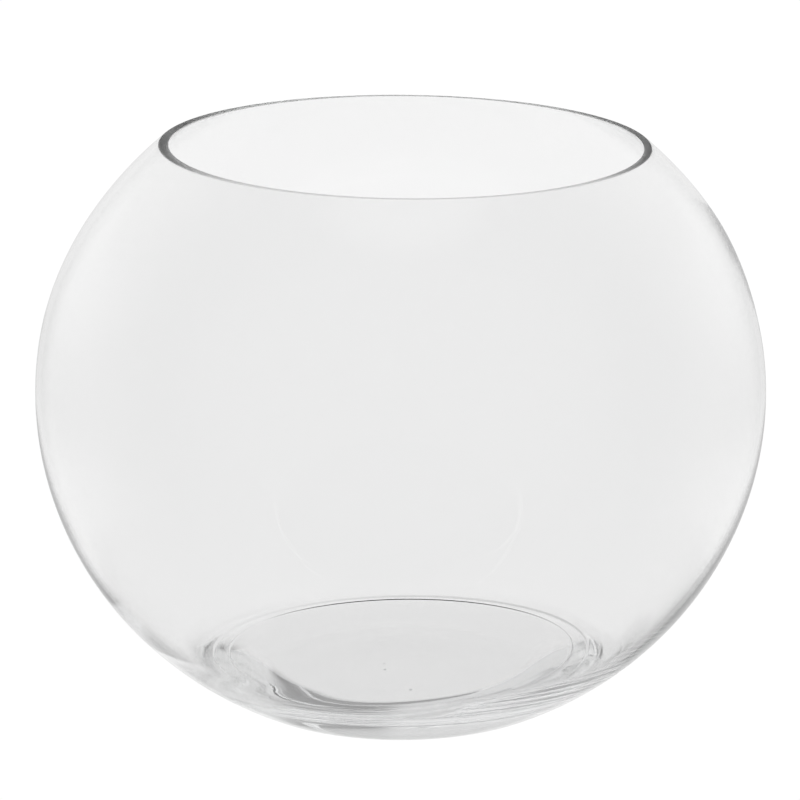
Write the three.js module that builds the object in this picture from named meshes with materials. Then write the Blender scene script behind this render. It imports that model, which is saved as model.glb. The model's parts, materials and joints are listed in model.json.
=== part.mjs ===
// A round vase of clear glass: one blown body with a cut and ground lip, a full belly, and a thick floor with
// a shallow groove round it, that stands on a flat ring round a slight hollow. Millimetres, +Z up. The origin
// is the centre of the ring that it stands on.
import * as THREE from "three";

// Outside
const BODY_DIAMETER = 200; // at the belly, the widest place
const BODY_HEIGHT = 158.3; // from the table to the lip
const BELLY_HEIGHT = 88.7; // of the widest place above the table
const MOUTH_DIAMETER = 133.3; // outside edge of the flat lip
const HEEL_DIAMETER = 75; // where the belly's curve would meet the table if the heel were sharp
const HEEL_ROUND_HEIGHT = 3; // of the rounding between the wall and the standing ring

// Glass
const LIP_WIDTH = 2.4; // across the flat lip, which cuts the sloping wall level
const LIP_BEVEL_WIDTH = 1.2; // of the slope that is ground round the outside of the flat lip
const LIP_BEVEL_HEIGHT = 1;
const LIP_EDGE_ROUND = 0.2; // on both edges of the flat lip
const BELLY_WALL = 1.6; // at the widest place
const HEEL_WALL = 4; // measured level, where the wall starts to turn into the floor
const FLOOR_HEIGHT = 13; // of the inside floor above the table
const FLOOR_TURN_HEIGHT = 3; // of the turn from the floor up to the wall
const GROOVE_WIDTH = 4.6; // of the groove round the floor, at the foot of that turn
const GROOVE_DEPTH = 0.7;

// Underside
const RING_WIDTH = 5; // of the flat ring that touches the table
const HOLLOW_RISE = 0.3; // of the slight dome inside that ring

// Fineness of the facets
const TURN_STEPS = 64; // round the axis
const FACET_LENGTH = 10; // along the section
const FEWEST_FACETS = 3; // on a small round

const bodyRadius = BODY_DIAMETER / 2;
const mouthRadius = MOUTH_DIAMETER / 2;
const heelRadius = HEEL_DIAMETER / 2;

// The half height of an ellipse round the belly's centre, of that greatest radius, through a point of the section.
function halfHeight(greatestRadius, radius, height) {
  return Math.abs(height - BELLY_HEIGHT) / Math.sqrt(1 - (radius / greatestRadius) ** 2);
}

// The stretch of wall above or below the belly: a quarter of an ellipse with its radius and slope at any height.
function wallStretch(greatestRadius, tall) {
  const share = (height) => (height - BELLY_HEIGHT) / tall;
  const radiusAt = (height) => greatestRadius * Math.sqrt(1 - share(height) ** 2);
  return {
    greatestRadius,
    tall,
    radiusAt,
    angleAt: (height) => Math.asin(share(height)),
    slopeAt: (height) => (radiusAt(height) / greatestRadius ** 2) / ((BELLY_HEIGHT - height) / tall ** 2),
  };
}

// The round between a wall and a level face: it leaves the wall at a height and reaches the face as far from their
// corner as it left the wall.
function roundToLevel(wall, wallHeight, levelHeight) {
  const radius = wall.radiusAt(wallHeight);
  const rise = wallHeight - levelHeight;
  const run = rise / wall.slopeAt(wallHeight);
  const cornerRadius = radius - run;
  return { radius, wallHeight, levelHeight, cornerRadius, levelRadius: cornerRadius - Math.hypot(run, rise) };
}

// Adds a stretch of wall to the section, from one height to another.
function drawWall(section, wall, fromHeight, toHeight) {
  const falling = toHeight < fromHeight;
  section.absellipse(
    0, BELLY_HEIGHT, wall.greatestRadius, wall.tall, wall.angleAt(fromHeight), wall.angleAt(toHeight), falling, 0,
  );
}

// Half of the vase cut through its axis, as radius and height, drawn from the underside round to the floor.
function glassSection() {
  const innerRadius = bodyRadius - BELLY_WALL;
  const innerMouth = mouthRadius - LIP_WIDTH;
  const bevelRadius = mouthRadius + LIP_BEVEL_WIDTH;
  const bevelHeight = BODY_HEIGHT - LIP_BEVEL_HEIGHT;
  const outerUpper = wallStretch(bodyRadius, halfHeight(bodyRadius, bevelRadius, bevelHeight));
  const outerLower = wallStretch(bodyRadius, halfHeight(bodyRadius, heelRadius, 0));
  const innerUpper = wallStretch(innerRadius, halfHeight(innerRadius, innerMouth, BODY_HEIGHT));
  const turnHeight = FLOOR_HEIGHT + FLOOR_TURN_HEIGHT;
  const turnRadius = outerLower.radiusAt(turnHeight) - HEEL_WALL;
  const innerLower = wallStretch(innerRadius, halfHeight(innerRadius, turnRadius, turnHeight));

  const heel = roundToLevel(outerLower, HEEL_ROUND_HEIGHT, 0);
  const floor = roundToLevel(innerLower, turnHeight, FLOOR_HEIGHT);
  const hollowRadius = heel.levelRadius - RING_WIDTH;
  const domeRadius = (hollowRadius ** 2 + HOLLOW_RISE ** 2) / (2 * HOLLOW_RISE);
  const lipRoundHeight = BODY_HEIGHT - LIP_EDGE_ROUND;
  const lipRoundRadius = mouthRadius + (LIP_BEVEL_WIDTH * LIP_EDGE_ROUND) / LIP_BEVEL_HEIGHT;
  const grooveMiddle = floor.levelRadius - GROOVE_WIDTH / 2;
  const grooveEase = GROOVE_WIDTH / 4;
  const grooveHeight = FLOOR_HEIGHT - GROOVE_DEPTH;

  const section = new THREE.Path();
  section.moveTo(0, HOLLOW_RISE);
  section.absarc(0, HOLLOW_RISE - domeRadius, domeRadius, Math.PI / 2, Math.acos(hollowRadius / domeRadius), true);
  section.lineTo(heel.levelRadius, 0);
  section.quadraticCurveTo(heel.cornerRadius, 0, heel.radius, heel.wallHeight);
  drawWall(section, outerLower, heel.wallHeight, BELLY_HEIGHT);
  drawWall(section, outerUpper, BELLY_HEIGHT, bevelHeight);
  section.lineTo(lipRoundRadius, lipRoundHeight);
  section.quadraticCurveTo(mouthRadius, BODY_HEIGHT, mouthRadius - LIP_EDGE_ROUND, BODY_HEIGHT);
  section.lineTo(innerMouth + LIP_EDGE_ROUND, BODY_HEIGHT);
  section.quadraticCurveTo(innerMouth, BODY_HEIGHT, innerUpper.radiusAt(lipRoundHeight), lipRoundHeight);
  drawWall(section, innerUpper, lipRoundHeight, BELLY_HEIGHT);
  drawWall(section, innerLower, BELLY_HEIGHT, turnHeight);
  section.quadraticCurveTo(floor.cornerRadius, FLOOR_HEIGHT, floor.levelRadius, FLOOR_HEIGHT);
  section.bezierCurveTo(
    floor.levelRadius - grooveEase, FLOOR_HEIGHT, grooveMiddle + grooveEase, grooveHeight, grooveMiddle, grooveHeight,
  );
  section.bezierCurveTo(
    grooveMiddle - grooveEase, grooveHeight,
    grooveMiddle - grooveEase, FLOOR_HEIGHT,
    floor.levelRadius - GROOVE_WIDTH, FLOOR_HEIGHT,
  );
  section.lineTo(0, FLOOR_HEIGHT);
  return section;
}

// The section as points: straight stretches keep only their ends, and round ones get facets of about equal length.
function sectionPoints(section) {
  const points = section.curves.flatMap((curve) => {
    const facets = curve.isLineCurve ? 1 : Math.max(FEWEST_FACETS, Math.ceil(curve.getLength() / FACET_LENGTH));
    return curve.getPoints(facets).slice(1);
  });
  points.unshift(section.curves[0].getPoint(0));
  points.at(0).x = 0;
  points.at(-1).x = 0;
  return points;
}

function makeBowl() {
  const turned = new THREE.LatheGeometry(sectionPoints(glassSection()), TURN_STEPS);
  turned.rotateX(Math.PI / 2);
  const clearGlass = new THREE.MeshStandardMaterial({
    color: 0xeef2f2,
    roughness: 0.05,
    metalness: 0,
    transparent: true,
    opacity: 0.3,
    side: THREE.DoubleSide,
  });
  const bowl = new THREE.Mesh(turned, clearGlass);
  bowl.name = "bowl";
  return bowl;
}

const vase = new THREE.Group();
vase.add(makeBowl());

export default vase;
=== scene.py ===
# %% [markdown]
# # A round vase of clear glass
# The real vase is one gather of glass, blown into a round mould. Its mouth is cut off and ground level, its
# floor is thick, and it stands on a flat ring. Because it is one body, this lesson makes one mesh and one
# glass. It spends its care on the section of that body and on the light, since clear glass has no colour
# of its own and shows only what it bends and mirrors.

# %% Load the frame
import json
import math

import bpy
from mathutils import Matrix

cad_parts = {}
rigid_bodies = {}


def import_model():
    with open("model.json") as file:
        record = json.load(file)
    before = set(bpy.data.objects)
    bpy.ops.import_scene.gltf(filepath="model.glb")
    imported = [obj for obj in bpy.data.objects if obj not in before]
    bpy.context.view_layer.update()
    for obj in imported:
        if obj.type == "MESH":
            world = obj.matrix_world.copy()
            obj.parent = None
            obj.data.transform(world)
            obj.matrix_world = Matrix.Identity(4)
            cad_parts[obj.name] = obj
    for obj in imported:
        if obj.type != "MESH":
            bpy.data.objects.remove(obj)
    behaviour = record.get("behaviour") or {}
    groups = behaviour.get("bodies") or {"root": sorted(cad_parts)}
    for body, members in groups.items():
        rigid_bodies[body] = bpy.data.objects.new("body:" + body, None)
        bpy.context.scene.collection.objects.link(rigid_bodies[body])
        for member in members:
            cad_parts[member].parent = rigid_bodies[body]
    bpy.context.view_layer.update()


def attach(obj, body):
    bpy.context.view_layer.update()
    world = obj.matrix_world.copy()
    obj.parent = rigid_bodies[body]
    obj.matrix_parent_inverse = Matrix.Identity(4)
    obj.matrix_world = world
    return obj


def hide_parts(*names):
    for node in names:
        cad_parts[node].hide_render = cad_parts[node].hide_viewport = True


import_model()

# %% [markdown]
# ## The camera
# The photograph was taken with a long lens from above the rim: the mouth shows as a narrow ellipse, and the
# sides of the vase hardly converge. A camera can be placed by eye. Here its distance, its height, the length
# of its lens and the point that it looks at were worked out from the outline and from the ellipse of the
# mouth, and they are given as they came out, in millimetres.

# %% Place the camera
MM = 0.001
BELLY_HEIGHT = 88.7  # of the widest place above the table
CAMERA_DISTANCE = 1600.0
CAMERA_ELEVATION = math.radians(14.59)
LENS_LENGTH = 262.66
SENSOR_WIDTH = 36.0
LOOKED_AT = (-0.18, 0.0, 86.1)

camera_data = bpy.data.cameras.new("photo_camera")
camera_data.sensor_width = SENSOR_WIDTH
camera_data.lens = LENS_LENGTH
camera = bpy.data.objects.new("photo_camera", camera_data)
bpy.context.scene.collection.objects.link(camera)
eye = (
    0.0,
    -CAMERA_DISTANCE * math.cos(CAMERA_ELEVATION),
    BELLY_HEIGHT + CAMERA_DISTANCE * math.sin(CAMERA_ELEVATION),
)
camera.location = [value * MM for value in eye]
away = [e - p for e, p in zip(eye, LOOKED_AT)]
look_down = math.atan2(away[2], math.hypot(away[0], away[1]))
turn = math.atan2(away[0], -away[1])
camera.rotation_euler = (math.pi / 2 - look_down, 0.0, turn)
bpy.context.scene.camera = camera
print("camera looks down by", round(math.degrees(look_down), 2), "degrees")

# %% [markdown]
# ## The outline of the glass
# Cut the vase through its axis and half of the cut is a thin closed outline: underside, standing ring, wall,
# lip, inside wall, floor. It could be traced point by point, but the belly is drawn here as quarter ellipses
# above and below the widest place, because a mould for such a vase is a slightly flattened ball, and a few
# ellipses match the photograph's outline to a few pixels. The sizes are the ones of the solid part, in
# millimetres.

# %% Sizes of the vase
BODY_RADIUS = 100.0
BODY_HEIGHT = 158.3
MOUTH_RADIUS = 66.65  # outside edge of the flat lip
HEEL_RADIUS = 37.5  # where the belly's curve would meet the table if the heel were sharp
HEEL_ROUND_HEIGHT = 3.0
LIP_WIDTH = 2.4
LIP_BEVEL_WIDTH = 1.2
LIP_BEVEL_HEIGHT = 1.0
LIP_EDGE_ROUND = 0.2
BELLY_WALL = 1.6
HEEL_WALL = 4.0  # measured level, where the wall starts to turn into the floor
FLOOR_HEIGHT = 13.0
FLOOR_TURN_HEIGHT = 3.0
GROOVE_WIDTH = 4.6
GROOVE_DEPTH = 0.7
RING_WIDTH = 5.0
HOLLOW_RISE = 0.3


def half_height(greatest_radius, radius, height):
    """Half height of the ellipse round the belly's centre that passes through a point of the section."""
    return abs(height - BELLY_HEIGHT) / math.sqrt(1 - (radius / greatest_radius) ** 2)


def wall_radius(greatest_radius, tall, height):
    """Radius of such an ellipse at a height."""
    return greatest_radius * math.sqrt(1 - ((height - BELLY_HEIGHT) / tall) ** 2)


def wall_slope(greatest_radius, tall, height):
    """How steeply the lower wall rises there, as height over radius."""
    radius = wall_radius(greatest_radius, tall, height)
    return (radius / greatest_radius ** 2) / ((BELLY_HEIGHT - height) / tall ** 2)


OUTER_UPPER = half_height(BODY_RADIUS, MOUTH_RADIUS + LIP_BEVEL_WIDTH, BODY_HEIGHT - LIP_BEVEL_HEIGHT)
OUTER_LOWER = half_height(BODY_RADIUS, HEEL_RADIUS, 0.0)
INNER_RADIUS = BODY_RADIUS - BELLY_WALL
INNER_UPPER = half_height(INNER_RADIUS, MOUTH_RADIUS - LIP_WIDTH, BODY_HEIGHT)
TURN_HEIGHT = FLOOR_HEIGHT + FLOOR_TURN_HEIGHT
TURN_RADIUS = wall_radius(BODY_RADIUS, OUTER_LOWER, TURN_HEIGHT) - HEEL_WALL
INNER_LOWER = half_height(INNER_RADIUS, TURN_RADIUS, TURN_HEIGHT)
print("half heights outside:", round(OUTER_UPPER, 1), "above and", round(OUTER_LOWER, 1), "below")
print("half heights inside:", round(INNER_UPPER, 1), "above and", round(INNER_LOWER, 1), "below")

# %% [markdown]
# ## Rounds
# Where the wall meets the floor or the standing ring it turns in a soft round. A bevel modifier would cut
# every edge alike, so the rounds are drawn in the outline as curves with a few control points: such a curve
# leaves the wall along the wall's slope and reaches the level face flat.


# %% Curves that join the stretches
def bend(controls, steps):
    """Points of a curve that is pulled towards its middle control points, without its first point."""
    points = []
    for i in range(1, steps + 1):
        t = i / steps
        line = controls
        while len(line) > 1:
            line = [tuple((1 - t) * a + t * b for a, b in zip(p, q)) for p, q in zip(line, line[1:])]
        points.append(line[0])
    return points


def sweep(greatest_radius, tall, start, end, steps):
    """Points of a wall from one height to another, without the first point."""
    first = math.asin((start - BELLY_HEIGHT) / tall)
    last = math.asin((end - BELLY_HEIGHT) / tall)
    points = []
    for i in range(1, steps + 1):
        angle = first + (last - first) * i / steps
        points.append((greatest_radius * math.cos(angle), BELLY_HEIGHT + tall * math.sin(angle)))
    return points


def round_to_level(greatest_radius, tall, wall_height, level_height):
    """The radius where a round leaves a wall, that of its corner, and where it reaches a level face."""
    radius = wall_radius(greatest_radius, tall, wall_height)
    rise = wall_height - level_height
    run = rise / wall_slope(greatest_radius, tall, wall_height)
    corner = radius - run
    return radius, corner, corner - math.hypot(run, rise)


HEEL_TOP, HEEL_CORNER, HEEL_FLAT = round_to_level(BODY_RADIUS, OUTER_LOWER, HEEL_ROUND_HEIGHT, 0.0)
TURN_TOP, TURN_CORNER, TURN_FLAT = round_to_level(INNER_RADIUS, INNER_LOWER, TURN_HEIGHT, FLOOR_HEIGHT)
print("heel turns from radius", round(HEEL_FLAT, 1), "to", round(HEEL_TOP, 1))
print("floor turns from radius", round(TURN_FLAT, 1), "to", round(TURN_TOP, 1))

# %% [markdown]
# ## How the mouth leans
# The mouth of a blown vase is cut with a disc and ground on a plate, and the cut is seldom quite level or
# quite central. In the photograph the right end of the mouth lies a little lower than the left one and
# stands further out, and the shoulder under it is fuller. One outline for all directions could not show
# that, and a bend of the finished mesh would move its floor too. So each direction gets an outline of its
# own, and these helpers say how it leans. A direction is told by how far it points to the right: 1 is right,
# -1 is left, and 0 is the front or the back.

# %% Lean the mouth and the shoulder
LIP_TILT = 1.25  # drop from the left end of the mouth to the right one
SHOULDER_SHIFT = 0.7
SHOULDER_START = 108.0  # heights between which the shift sets in
SHOULDER_FULL = 146.0
TURN_IN = 0.6  # of the wall where it reaches the mouth
TURN_IN_RIGHT = 0.2  # more at the right, less at the left
TURN_IN_START = 128.0


def ease(value):
    """A smooth step from 0 to 1."""
    t = min(1.0, max(0.0, value))
    return t * t * (3 - 2 * t)


def lip_level(to_right):
    """Height of the flat lip."""
    return BODY_HEIGHT - LIP_TILT * (1 + to_right) / 2


def outward(height, to_right):
    """How far the wall stands out at a height: fuller at the right shoulder, and turned in at the mouth."""
    shift = SHOULDER_SHIFT * to_right
    fuller = shift * ease((height - SHOULDER_START) / (SHOULDER_FULL - SHOULDER_START))
    turned = TURN_IN + TURN_IN_RIGHT * to_right
    top = lip_level(to_right) - LIP_BEVEL_HEIGHT
    return fuller - turned * ease((height - TURN_IN_START) / (top - TURN_IN_START))


print("lip at the left and at the right:", lip_level(-1.0), lip_level(1.0))

# %% [markdown]
# ## Outside of the glass
# The vase stands on a flat ring round a slight hollow, which keeps it from rocking. From there the heel
# turns up into the wall, and the wall runs over the belly to the mouth. The mesh will be shaded smooth all
# over, so a short facet is set beside each edge that should stay crisp. Sharp marks on the edges could do
# that too, but the facets also survive an export.

# %% Draw the underside and the outer wall
CRISP = 0.06  # length of the short facet beside an edge
DOME_STEPS = 24
HEEL_STEPS = 30
LOWER_WALL_STEPS = 56
UPPER_WALL_STEPS = 44


def underside_and_wall(to_right):
    """Points from the middle of the underside to the top of the outer wall."""
    hollow_radius = HEEL_FLAT - RING_WIDTH
    points = []
    for i in range(DOME_STEPS + 1):
        t = i / DOME_STEPS
        points.append((hollow_radius * t, HOLLOW_RISE * (1 - t * t) ** 2))
    heel_start = (HEEL_FLAT, 0.0)
    heel_middle = ((HEEL_FLAT + HEEL_CORNER) / 2, 0.0)
    heel_end = (HEEL_TOP, HEEL_ROUND_HEIGHT)
    points.append(heel_start)
    points += bend([heel_start, heel_middle, (HEEL_CORNER, 0.0), heel_end], HEEL_STEPS)
    points += sweep(BODY_RADIUS, OUTER_LOWER, HEEL_ROUND_HEIGHT, BELLY_HEIGHT, LOWER_WALL_STEPS)
    top = lip_level(to_right) - LIP_BEVEL_HEIGHT
    upper_wall = sweep(BODY_RADIUS, OUTER_UPPER, BELLY_HEIGHT, top - CRISP, UPPER_WALL_STEPS)
    upper_wall += sweep(BODY_RADIUS, OUTER_UPPER, top - CRISP, top, 1)
    points += [(radius + outward(height, to_right), height) for radius, height in upper_wall]
    return points


print(len(underside_and_wall(0.0)), "points from the underside to the top of the wall")

# %% [markdown]
# ## Lip
# The cut lip is ground flat, and a narrow slope is ground round its outside. In the photograph the flat is
# wide at the two ends of the mouth and narrow at its front and back, and the left end is the widest. Its
# width could be painted with weights, but the square of the direction gives it in one line and changes
# smoothly all round.

# %% Draw the lip
LIP_THIN = 0.8  # width of the flat at the front and the back
LIP_UNEVEN = 0.3  # by which the left end is wider, and the right end narrower
LIP_STEPS = 5


def lip_edges(to_right):
    """Radius of the outer and of the inner edge of the flat lip."""
    top = lip_level(to_right) - LIP_BEVEL_HEIGHT
    outer = wall_radius(BODY_RADIUS, OUTER_UPPER, top) + outward(top, to_right) - LIP_BEVEL_WIDTH
    width = LIP_THIN + (LIP_WIDTH - LIP_THIN) * to_right ** 2 - LIP_UNEVEN * to_right
    return outer, outer - width


def bevel(foot_radius, to_right):
    """Points of the slope from the top of the outer wall to the round at the lip's outer edge."""
    run = foot_radius - lip_edges(to_right)[0]
    foot = lip_level(to_right) - LIP_BEVEL_HEIGHT
    round_start = lip_level(to_right) - LIP_EDGE_ROUND
    heights = (foot + CRISP, round_start - CRISP, round_start)
    return [(foot_radius - run * (height - foot) / LIP_BEVEL_HEIGHT, height) for height in heights]


def flat_lip(start, end, to_right):
    """Points across the lip, from the end of the bevel to the start of the inside wall."""
    outer, inner = lip_edges(to_right)
    lip = lip_level(to_right)
    points = bend([start, (outer, lip), (outer - LIP_EDGE_ROUND, lip)], LIP_STEPS)
    points.append((inner + LIP_EDGE_ROUND, lip))
    points += bend([points[-1], (inner, lip), end], LIP_STEPS)
    return points


for side, to_right in (("left", -1.0), ("front", 0.0), ("right", 1.0)):
    outer_edge, inner_edge = lip_edges(to_right)
    print("lip at the", side, "is", round(outer_edge - inner_edge, 2), "mm wide")

# %% [markdown]
# ## Upper inside wall
# Inside, the wall of a blown vase follows the outside, a little nearer to the axis. It could be a copy of
# the outside that is moved inwards, but the real wall is thinnest at the belly, so it has ellipses of its
# own. It starts where the flat lip ends and comes back to its plain shape further down.


# %% Draw the upper inside wall
def upper_inside(to_right):
    """Points from the round at the lip's inner edge down to the belly."""
    lip = lip_level(to_right)
    top = lip - LIP_EDGE_ROUND
    wall = [(wall_radius(INNER_RADIUS, INNER_UPPER, top), top)]
    wall += sweep(INNER_RADIUS, INNER_UPPER, top, top - CRISP, 1)
    wall += sweep(INNER_RADIUS, INNER_UPPER, top - CRISP, BELLY_HEIGHT, UPPER_WALL_STEPS)
    inner = lip_edges(to_right)[1]
    rest = inner - wall_radius(INNER_RADIUS, INNER_UPPER, lip) - outward(lip, to_right)
    points = []
    for radius, height in wall:
        share = ease((height - SHOULDER_START) / (lip - SHOULDER_START))
        points.append((radius + outward(height, to_right) + rest * share, height))
    return points


print(len(upper_inside(0.0)), "points from the lip to the belly")

# %% [markdown]
# ## Floor
# A shallow groove with steep sides runs round the floor, and a fine seam stands up at its inner edge,
# probably the mark of the tool that pressed the floor. Both could be a bump in the glass, but bump doesn't
# bend what is seen through clear glass in the right place, so they are real shape. The groove is shallower
# at its left end, because the photograph shows no dark mark there.

# %% Draw the lower inside wall and the floor
GROOVE_SIDE = 0.7  # width of each side of the groove
GROOVE_SHALLOWER = 0.5  # share of the depth that is missing at the left end
SEAM_HEIGHT = 0.25
SEAM_HALF_WIDTH = 0.25
SEAM_REACH = 3 * SEAM_HALF_WIDTH  # from the middle of the seam to where nothing of it is left
TURN_STEPS = 20
GROOVE_STEPS = 60
FLAT_STEPS = 12


def lower_inside():
    """Points from the belly down to the floor, with the turn into it."""
    points = sweep(INNER_RADIUS, INNER_LOWER, BELLY_HEIGHT, TURN_HEIGHT, LOWER_WALL_STEPS)
    points += bend([points[-1], (TURN_CORNER, FLOOR_HEIGHT), (TURN_FLAT, FLOOR_HEIGHT)], TURN_STEPS)
    return points


def hump(distance):
    """1 on a line and almost 0 a little beside it."""
    return math.exp(-(distance / SEAM_HALF_WIDTH) ** 2)


def groove(to_right):
    """Points of the groove and its seam, and how strongly a line shows at each."""
    reach = GROOVE_WIDTH + SEAM_REACH
    depth = GROOVE_DEPTH * (1 - GROOVE_SHALLOWER * max(0.0, -to_right) ** 2)
    points = []
    lines = []
    for i in range(1, GROOVE_STEPS + 1):
        reached = reach * i / GROOVE_STEPS
        dip = depth * ease(reached / GROOVE_SIDE) * ease((GROOVE_WIDTH - reached) / GROOVE_SIDE)
        seam = hump(reached - GROOVE_WIDTH)
        lines.append(max(seam, hump(reached - GROOVE_SIDE / 2)))
        points.append((TURN_FLAT - reached, FLOOR_HEIGHT - dip + SEAM_HEIGHT * seam))
    return points, lines


def flat_floor(edge):
    """Points from the seam to the axis."""
    return [(edge * (1 - i / FLAT_STEPS), FLOOR_HEIGHT) for i in range(1, FLAT_STEPS + 1)]


for side, to_right in (("left", -1.0), ("right", 1.0)):
    lowest = min(height for radius, height in groove(to_right)[0])
    print("groove at the", side, "is", round(FLOOR_HEIGHT - lowest, 2), "mm deep")

# %% [markdown]
# ## How the soft glass settled
# While it was soft, the glass sank a little unevenly: the right side of the floor is higher, the floor is a
# trace wider, the lower wall is a trace thicker to the right, and a slow ripple runs round it. Each of these
# is about a millimetre or less, but it keeps the mirrored streaks in the heel from looking like perfect
# circles. A noise texture could move the points too, but a tilt and a few waves are easier to set.

# %% Settle the inside
FLOOR_TILT = 0.018  # rise for each millimetre to the right
FLOOR_TILT_FADE = 12.0  # height above the floor where the tilt has gone
RING_WIDER = 0.02  # share by which the floor and its groove are widened
SETTLED = -0.03  # added to the wall all round
SETTLED_RIGHT = 0.08  # added at the right, taken off at the left
SETTLED_START = 58.0  # heights between which the wall begins to differ
SETTLED_FULL = 30.0
RIPPLE = 0.02
RIPPLES_ROUND = 5
RIPPLE_RISE = 9.0  # millimetres of height for each radian of the wave


def settle(points, direction):
    """Moves points of the lower inside as the soft glass sank there."""
    to_right = math.cos(direction)
    thicker = SETTLED + SETTLED_RIGHT * to_right
    moved = []
    for radius, height in points:
        tilt = FLOOR_TILT * radius * to_right * (1 - ease((height - FLOOR_HEIGHT) / FLOOR_TILT_FADE))
        low = ease((SETTLED_START - height) / (SETTLED_START - SETTLED_FULL))
        wall = ease((radius - TURN_FLAT) / (TURN_TOP - TURN_FLAT))
        ripple = RIPPLE * math.sin(RIPPLES_ROUND * direction + height / RIPPLE_RISE)
        shift = RING_WIDER * radius * (1 - wall) - (thicker + ripple) * low * wall
        moved.append((radius + shift, height + tilt))
    return moved


floor_end = settle(lower_inside()[-1:], 0.0)[0]
print("right end of the floor at radius", round(floor_end[0], 2), "and height", round(floor_end[1], 2))

# %% [markdown]
# ## The whole section
# Now the stretches are joined to one closed outline for a direction. Each point also carries two marks for
# the glass. One says how matt it is: the ground lip fully, the bevel and the fine lines of the floor partly,
# and the left end of the floor's turn so that it softens what is seen there. The other is painted shade: how
# far the glass colour is darkened, a little all round the lip, most at its front and a little more at its
# ends, and on the two lines round the floor, more at the right, where mirrored light draws dark lines in the
# real glass. Paint masks could hold the marks, but here they are known for each point as it is made.

# %% Join the section
BEVEL_MATT = 0.1
LIP_MATT = 1.0
SEAM_MATT = 0.4
TURN_MATT = 0.35
# painted shade on the fine lines round the floor, for the dark lines that mirrored light draws there
SEAM_PAINTED_SHADE = 0.45
SEAM_PAINTED_SHADE_RIGHT = 0.3  # more at the right, less at the left
# painted shade on the lip: a little all round, most at its front, a little more at its ends
LIP_PAINTED_SHADE = 0.05
LIP_PAINTED_SHADE_FRONT = 0.4
LIP_PAINTED_SHADE_ENDS = 0.05


def marked(points, matt=0.0, painted_shade=0.0):
    """Points with the same two marks on each."""
    return [(radius, height, matt, painted_shade) for radius, height in points]


def glass_section(direction):
    """The outline in a direction: radius and height in millimetres, and the two marks, of each point."""
    to_right = math.cos(direction)
    to_front = -math.sin(direction)
    # painted shade on the lip, darkest at its front
    lip_painted_shade = LIP_PAINTED_SHADE + LIP_PAINTED_SHADE_FRONT * max(0.0, to_front) + LIP_PAINTED_SHADE_ENDS * to_right ** 2
    turn_matt = TURN_MATT * max(0.0, -to_right) ** 2
    # painted shade on the floor's lines, darker at the right
    line_painted_shade = SEAM_PAINTED_SHADE + SEAM_PAINTED_SHADE_RIGHT * to_right

    outside = underside_and_wall(to_right)
    slope = bevel(outside[-1][0], to_right)
    inside = upper_inside(to_right)
    lip = flat_lip(slope[-1], inside[0], to_right)
    section = marked(outside) + marked(slope, BEVEL_MATT)
    section += marked(lip, LIP_MATT, lip_painted_shade) + marked(inside[1:])

    lower = settle(lower_inside(), direction)
    section += marked(lower[:-TURN_STEPS]) + marked(lower[-TURN_STEPS:], turn_matt)
    groove_points, lines = groove(to_right)
    for (radius, height), line in zip(settle(groove_points, direction), lines):
        section.append((radius, height, max(turn_matt, SEAM_MATT * line), line_painted_shade * line))
    return section + marked(settle(flat_floor(groove_points[-1][0]), direction))


print(len(glass_section(0.0)), "points in the section")

# %% [markdown]
# ## Turning the outline
# A screw modifier could spin one outline, but each direction has its own outline here, so the points and
# faces are made in code: one point on the axis at each end, and a band of four-sided faces between each two
# directions.

# %% Turn the section
TURNS = 264


def turned_points():
    """All points of the body, from the underside's middle to the floor's, and the marks of each."""
    start = glass_section(0.0)
    vertices = [(0.0, 0.0, start[0][1] * MM)]
    marks = [start[0][2:]]
    for k in range(TURNS):
        angle = 2 * math.pi * k / TURNS
        for radius, height, matt, painted_shade in glass_section(angle)[1:-1]:
            vertices.append((radius * math.cos(angle) * MM, radius * math.sin(angle) * MM, height * MM))
            marks.append((matt, painted_shade))
    vertices.append((0.0, 0.0, start[-1][1] * MM))
    marks.append(start[-1][2:])
    return vertices, marks


def turned_faces(point_count):
    """Faces between the directions, closed to a fan at both points on the axis."""
    last = point_count - 1
    inside = (point_count - 2) // TURNS
    faces = []
    for k in range(TURNS):
        here = 1 + k * inside
        there = 1 + ((k + 1) % TURNS) * inside
        faces.append((0, there, here))
        for i in range(inside - 1):
            faces.append((here + i, there + i, there + i + 1, here + i + 1))
        faces.append((here + inside - 1, there + inside - 1, last))
    return faces


vertices, marks = turned_points()
faces = turned_faces(len(vertices))
print(len(vertices), "points and", len(faces), "faces turned")

# %% [markdown]
# ## Seeds
# Glassmakers call the tiny bubbles in a thick floor seeds. The photograph shows three of them as specks. A
# seed could be painted on as a dark dot, but it is a hollow in the glass, so it is made as one: a small ball
# inside the floor whose faces look into the hollow.

# %% Put the seeds into the floor
SEEDS = (  # place of the middle, and radius
    ((-4.3, -16.4, 10.9), 0.45),
    ((-4.6, -9.9, 9.5), 0.3),
    ((2.8, -33.0, 10.5), 0.45),
)
SEED_TURNS = 12
SEED_RINGS = 6


def seed_points(middle, radius):
    """Points of a small ball, from its lowest to its highest."""
    x, y, z = middle
    points = [(x * MM, y * MM, (z - radius) * MM)]
    for j in range(1, SEED_RINGS):
        around = radius * math.sin(math.pi * j / SEED_RINGS)
        height = z - radius * math.cos(math.pi * j / SEED_RINGS)
        for k in range(SEED_TURNS):
            angle = 2 * math.pi * k / SEED_TURNS
            beside_x = x + around * math.cos(angle)
            beside_y = y + around * math.sin(angle)
            points.append((beside_x * MM, beside_y * MM, height * MM))
    points.append((x * MM, y * MM, (z + radius) * MM))
    return points


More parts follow.
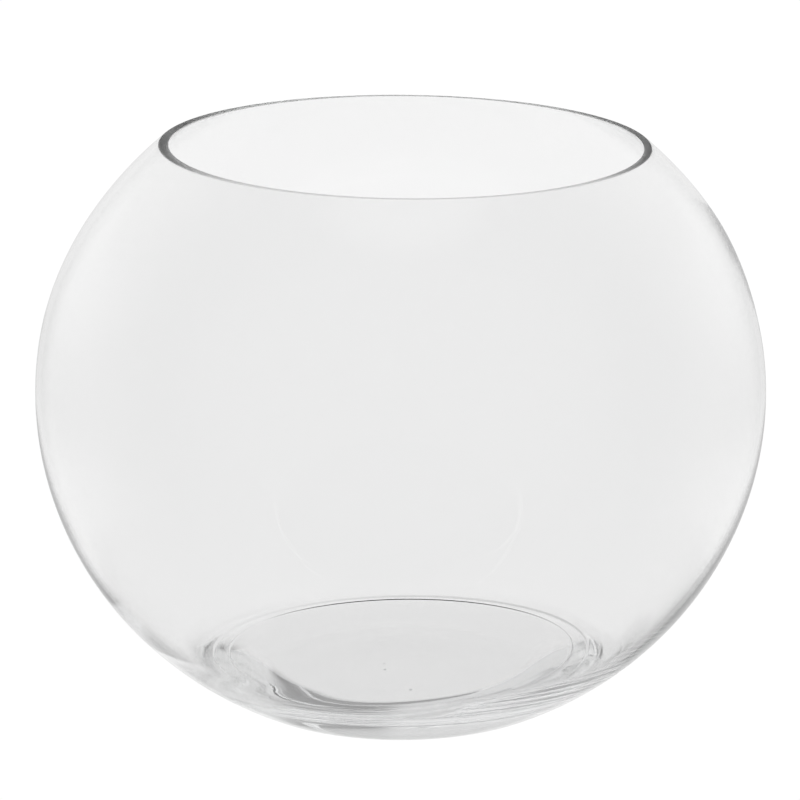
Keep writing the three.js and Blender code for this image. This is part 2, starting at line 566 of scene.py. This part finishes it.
def seed_faces(first, last):
    """Faces of such a ball that look inwards, between its first and its last point."""
    top_ring = last - SEED_TURNS
    ball = []
    for k in range(SEED_TURNS):
        beside = (k + 1) % SEED_TURNS
        ball.append((first, first + 1 + k, first + 1 + beside))
        for j in range(SEED_RINGS - 2):
            lower = first + 1 + j * SEED_TURNS
            upper = lower + SEED_TURNS
            ball.append((lower + k, upper + k, upper + beside, lower + beside))
        ball.append((top_ring + k, last, top_ring + beside))
    return ball


for middle, radius in SEEDS:
    first_point = len(vertices)
    vertices += seed_points(middle, radius)
    faces += seed_faces(first_point, len(vertices) - 1)
marks += [(0.0, 0.0)] * (len(vertices) - len(marks))
print(len(SEEDS), "seeds put into the floor")

# %% [markdown]
# ## The glass body
# The points and faces become one closed mesh. The marks are stored on it as two attributes, one for matt and
# one for painted shade, where the glass can read them. Textures drawn on the surface could say the same, but
# attributes need no unwrapping.


# %% Make the mesh
def glass_mesh(name):
    """The turned mesh, shaded smooth, with its marks as attributes."""
    mesh = bpy.data.meshes.new(name)
    mesh.from_pydata(vertices, [], faces)
    mesh.validate()
    mesh.polygons.foreach_set("use_smooth", [True] * len(mesh.polygons))
    for label, values in zip(("matt", "painted_shade"), zip(*marks)):
        attribute = mesh.attributes.new(label, "FLOAT", "POINT")
        attribute.data.foreach_set("value", values)
    mesh.update()
    return mesh


glass_body = bpy.data.objects.new("glass_body", glass_mesh("glass_body"))
bpy.context.scene.collection.objects.link(glass_body)
print("glass body:", len(glass_body.data.vertices), "points,", len(glass_body.data.polygons), "faces")

# %% [markdown]
# ## Clear glass
# Real glass lets light through, bends it, mirrors a little of it and takes a trace of it away on the way
# through, so the thick floor looks greyer than the thin wall. A glass shader could do the bending and the
# mirroring alone. The principled shader's transmission does both too, and its settings can be exported. An
# absorbing volume takes the trace.

# %% Make the glass
GLASS_BEND = 1.5
ABSORBED_TINT = (0.5, 0.51, 0.51, 1.0)
ABSORBED_DENSITY = 5.5

glass = bpy.data.materials.new("clear_glass_blown")
glass.use_nodes = True
nodes = glass.node_tree.nodes
links = glass.node_tree.links
shader = nodes["Principled BSDF"]
shader.inputs["Transmission Weight"].default_value = 1.0
shader.inputs["IOR"].default_value = GLASS_BEND
absorb = nodes.new("ShaderNodeVolumeAbsorption")
absorb.inputs["Color"].default_value = ABSORBED_TINT
absorb.inputs["Density"].default_value = ABSORBED_DENSITY
links.new(absorb.outputs["Volume"], nodes["Material Output"].inputs["Volume"])
glass_body.data.materials.append(glass)
print("glass bends light by an index of", GLASS_BEND)

# %% [markdown]
# ## Ground lip and fine lines
# A ground edge is a field of tiny pits. It scatters light into the wall under it, where much of it is lost,
# so it looks dark grey at the ends of the mouth. Grey paint would look the same from every side, so the matt
# mark turns the roughness up there instead. The second mark adds painted shade all the same: it takes the
# colour down on the front of the lip, a little at its ends and all round it, and on the lines round the
# floor, with a fine grit-like speckle in it. Very faint patches of haze from handling keep the rest from
# looking computed.

# %% Finish the glass
GLASS_TONE = 0.98
# tone of the painted shade on the lip and on the lines round the floor
PAINTED_SHADE_TONE = 0.3
GRIT_SPREAD = 0.2  # share of the painted shade's tone, to both sides
GRIT_SCALE = 900.0
GRIT_DETAIL = 3.0
MATT_ROUGH = 0.5
HAZE_SCALE = 14.0
HAZE_DETAIL = 4.0
HAZE_START = 0.5
HAZE_FULL = 0.8
HAZE_ROUGH = 0.015
SHARE, FIRST, SECOND = 0, 2, 3  # sockets of a node that mixes two numbers

place = nodes.new("ShaderNodeTexCoord")


def mark(label):
    """One of the marks on the mesh."""
    node = nodes.new("ShaderNodeAttribute")
    node.attribute_name = label
    return node.outputs["Fac"]


def speckle(scale, detail):
    """An uneven field that is fixed to the glass."""
    node = nodes.new("ShaderNodeTexNoise")
    node.inputs["Scale"].default_value = scale
    node.inputs["Detail"].default_value = detail
    links.new(place.outputs["Object"], node.inputs["Vector"])
    return node.outputs["Fac"]


# painted shade: the second mark blends the glass colour towards a dark, speckled tone
painted_shade_tone = nodes.new("ShaderNodeMapRange")
painted_shade_tone.inputs["To Min"].default_value = PAINTED_SHADE_TONE * (1 - GRIT_SPREAD)
painted_shade_tone.inputs["To Max"].default_value = PAINTED_SHADE_TONE * (1 + GRIT_SPREAD)
links.new(speckle(GRIT_SCALE, GRIT_DETAIL), painted_shade_tone.inputs["Value"])
tone = nodes.new("ShaderNodeMix")
tone.inputs[FIRST].default_value = GLASS_TONE
links.new(mark("painted_shade"), tone.inputs[SHARE])
links.new(painted_shade_tone.outputs["Result"], tone.inputs[SECOND])
links.new(tone.outputs[0], shader.inputs["Base Color"])

haze = nodes.new("ShaderNodeMapRange")
haze.inputs["From Min"].default_value = HAZE_START
haze.inputs["From Max"].default_value = HAZE_FULL
haze.inputs["To Max"].default_value = HAZE_ROUGH
links.new(speckle(HAZE_SCALE, HAZE_DETAIL), haze.inputs["Value"])
rough = nodes.new("ShaderNodeMix")
rough.inputs[SECOND].default_value = MATT_ROUGH
links.new(mark("matt"), rough.inputs[SHARE])
links.new(haze.outputs["Result"], rough.inputs[FIRST])
links.new(rough.outputs[0], shader.inputs["Roughness"])
print("glass made of", len(nodes), "nodes")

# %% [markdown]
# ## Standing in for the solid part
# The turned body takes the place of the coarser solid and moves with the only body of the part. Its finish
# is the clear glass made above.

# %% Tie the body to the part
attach(glass_body, "root")
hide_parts("bowl")
print("the glass body stands for the solid bowl")

# %% [markdown]
# ## Floor of the studio
# Clear glass is photographed against white: the vase is drawn by what it takes away from the white behind it
# and by the darkness that it mirrors. A lit white floor would catch a shadow, which the photograph doesn't
# have, so the floor is a pale disc that glows evenly. Only the camera sees it. What the glass mirrors and
# bends is the room of the next steps, which has no horizon line.

# %% Lay the floor
WHITE = 1.02  # a little over one, so that white stays white
DISC_RADIUS = 6.0  # metres
DISC_CORNERS = 96
DISC_DROP = 0.2  # millimetres below the standing ring, so that the two faces don't share a place

disc_points = []
for k in range(DISC_CORNERS):
    angle = 2 * math.pi * k / DISC_CORNERS
    disc_points.append((DISC_RADIUS * math.cos(angle), DISC_RADIUS * math.sin(angle), -DISC_DROP * MM))
floor_mesh = bpy.data.meshes.new("studio_floor")
floor_mesh.from_pydata(disc_points, [], [tuple(range(DISC_CORNERS))])
floor = bpy.data.objects.new("studio_floor", floor_mesh)
bpy.context.scene.collection.objects.link(floor)
pale = bpy.data.materials.new("pale_floor")
pale.use_nodes = True
pale.node_tree.nodes.clear()
glow = pale.node_tree.nodes.new("ShaderNodeEmission")
glow.inputs["Strength"].default_value = WHITE
pale_output = pale.node_tree.nodes.new("ShaderNodeOutputMaterial")
pale.node_tree.links.new(glow.outputs["Emission"], pale_output.inputs["Surface"])
floor_mesh.materials.append(pale)
floor.visible_glossy = False
floor.visible_transmission = False
floor.visible_diffuse = False
floor.visible_shadow = False
print("floor laid,", DISC_RADIUS, "metres to its edge")

# %% [markdown]
# ## A room made of nodes
# Lamps and cards could be set up round the vase, and in a real studio they would be. But light is mirrored
# many times over in a thick glass floor, and a lamp that is right for the wall is wrong for the floor. So
# the room here is the world behind everything, drawn with nodes: how bright it is depends on where light
# comes from and on how often the glass has mirrored it, which the light path node counts.

# %% Start the room
room = bpy.data.worlds.new("studio_room")
bpy.context.scene.world = room
room.use_nodes = True
room_nodes = room.node_tree.nodes
room_links = room.node_tree.links
backdrop = room_nodes["Background"]
backdrop.inputs["Color"].default_value = (1.0, 1.0, 1.0, 1.0)
facing = room_nodes.new("ShaderNodeTexCoord")
parts = room_nodes.new("ShaderNodeSeparateXYZ")
room_links.new(facing.outputs["Generated"], parts.inputs["Vector"])
across = parts.outputs["X"]
forward = parts.outputs["Y"]
upward = parts.outputs["Z"]
path = room_nodes.new("ShaderNodeLightPath")
print("room started with", len(room_nodes), "nodes")

# %% [markdown]
# ## Helpers for the room
# A card or a lamp in this room is a soft patch of directions. It could be drawn with a colour ramp, but a
# few small helpers that each add one node keep the patches easy to read: a soft fade, a sum or product of
# two values, a choice between two values, and the nearness to a direction.


# %% Make the helpers
def plug(value, socket):
    """Sets a socket to a number, or links it to a value of the room."""
    if isinstance(value, float):
        socket.default_value = value
    else:
        room_links.new(value, socket)


def fade(value, start, end, low, high):
    """A soft change from low to high while a value goes from start to end."""
    node = room_nodes.new("ShaderNodeMapRange")
    node.interpolation_type = "SMOOTHSTEP"
    node.inputs["From Min"].default_value = start
    node.inputs["From Max"].default_value = end
    node.inputs["To Min"].default_value = low
    node.inputs["To Max"].default_value = high
    room_links.new(value, node.inputs["Value"])
    return node.outputs["Result"]


def combine(operation, first, second):
    """Two values of the room worked into one."""
    node = room_nodes.new("ShaderNodeMath")
    node.operation = operation
    plug(first, node.inputs[0])
    plug(second, node.inputs[1])
    return node.outputs["Value"]


def choose(switch, off, on):
    """One of two values of the room."""
    node = room_nodes.new("ShaderNodeMix")
    room_links.new(switch, node.inputs[SHARE])
    plug(off, node.inputs[FIRST])
    plug(on, node.inputs[SECOND])
    return node.outputs[0]


def towards(x, y, z):
    """How far a direction agrees with a given one: 1 along it, 0 square to it."""
    node = room_nodes.new("ShaderNodeVectorMath")
    node.operation = "DOT_PRODUCT"
    node.inputs[1].default_value = (x, y, z)
    room_links.new(facing.outputs["Generated"], node.inputs[0])
    return node.outputs["Value"]


print("helpers for the room are ready")

# %% [markdown]
# ## Light that was mirrored once
# Light that was mirrored once shows a studio: dark behind the camera and pale behind the vase, where a sheet
# hangs that is brightest low down. A dim card in its middle greys the upper face of the glass floor. Light
# from there has passed two walls of two faces each, and light from the underside more, so a count of the
# faces keeps the card out of the underside. A patch of the table behind the vase is a little dimmer, which
# draws the edges of the lower body. Light that never entered the glass also sees a lamp overhead, which
# brightens the shoulder under the lip.

# %% Light the room for one mirroring
ABOVE_FOUR_FACES = 4.5  # limits lie half way between two counts
ABOVE_NO_FACE = 0.5
TABLE_PATCH = (0.0, 0.91, -0.42)

faces_passed = path.outputs["Transmission Depth"]
sideways = combine("ABSOLUTE", across, 0.0)
behind = fade(forward, start=-0.25, end=1.0, low=0.0, high=1.0)

sheet_foot = fade(upward, start=-0.55, end=-0.45, low=0.8, high=1.0)
sheet_dimmer = fade(upward, start=-0.4, end=-0.2, low=0.0, high=0.2)
sheet_top = fade(upward, start=-0.2, end=0.1, low=0.0, high=0.1)
sheet = combine("ADD", combine("SUBTRACT", sheet_foot, sheet_dimmer), sheet_top)

card_width = fade(sideways, start=0.12, end=0.3, low=0.4, high=0.0)
card_height = fade(upward, start=0.05, end=0.2, low=0.0, high=1.0)
not_underside = combine("LESS_THAN", faces_passed, ABOVE_FOUR_FACES)
card = combine("MULTIPLY", combine("MULTIPLY", card_width, card_height), not_underside)
table = fade(towards(*TABLE_PATCH), start=0.95, end=0.985, low=0.0, high=0.12)
walls = combine("MULTIPLY", behind, combine("SUBTRACT", sheet, combine("ADD", card, table)))

outside_only = combine("LESS_THAN", faces_passed, ABOVE_NO_FACE)
lamp = combine("MULTIPLY", outside_only, fade(upward, start=0.9, end=0.99, low=0.0, high=0.7))
mirrored_once = combine("MAXIMUM", walls, lamp)
print("room has", len(room_nodes), "nodes so far")

# %% [markdown]
# ## Light that was mirrored more often
# Light that was mirrored more often has gone round inside the glass, and its levels were set until the
# streaks in the floor had the greys of the photograph. A dark stripe at the right, for light that was
# mirrored four times, draws the dark streaks at the lower left of the floor. Light that was mirrored six
# times or more is brighter from above and from the camera's side, and dimmer from below. Light that was
# never mirrored sees plain white.

# %% Light the room for more mirrorings
MIRRORED_TWICE = 0.9  # or three times
MIRRORED_FOUR_TIMES = 1.12
MIRRORED_FIVE_TIMES = 1.05

stripe_left = fade(across, start=0.0, end=0.15, low=0.0, high=0.85)
stripe_right = fade(across, start=0.45, end=0.65, low=1.0, high=0.0)
stripe = combine("MULTIPLY", stripe_left, stripe_right)
four_times = combine("SUBTRACT", MIRRORED_FOUR_TIMES, stripe)

camera_side = fade(forward, start=-0.5, end=0.1, low=1.3, high=0.75)
dimmer_below = fade(upward, start=-0.35, end=-0.1, low=0.35, high=0.0)
brighter_above = fade(upward, start=0.2, end=0.45, low=0.0, high=0.8)
many_times = combine("ADD", combine("SUBTRACT", camera_side, dimmer_below), brighter_above)


def more_than(count):
    """Whether light was mirrored more often than that, with the limit half way between two counts."""
    return combine("GREATER_THAN", path.outputs["Glossy Depth"], count + 0.5)


seen = choose(more_than(0), WHITE, mirrored_once)
seen = choose(more_than(1), seen, MIRRORED_TWICE)
seen = choose(more_than(3), seen, four_times)
seen = choose(more_than(4), seen, MIRRORED_FIVE_TIMES)
seen = choose(more_than(5), seen, many_times)
room_links.new(seen, backdrop.inputs["Strength"])
print("room lit with", len(room_nodes), "nodes")

# %% [markdown]
# ## Settings for glass
# Light passes two faces at every glass wall and may be mirrored many times in the thick floor, so it needs
# many bounces before it is given up. With several times as many, the lip and the grey bands along the sides
# would come out lighter than in the photograph. The plain view keeps white white.

# %% Set the bounces
LIGHT_BOUNCES = 64

scene = bpy.context.scene
scene.cycles.max_bounces = LIGHT_BOUNCES
scene.cycles.transmission_bounces = LIGHT_BOUNCES
scene.cycles.glossy_bounces = LIGHT_BOUNCES
scene.view_settings.view_transform = "Standard"
print("light may bounce", scene.cycles.max_bounces, "times")
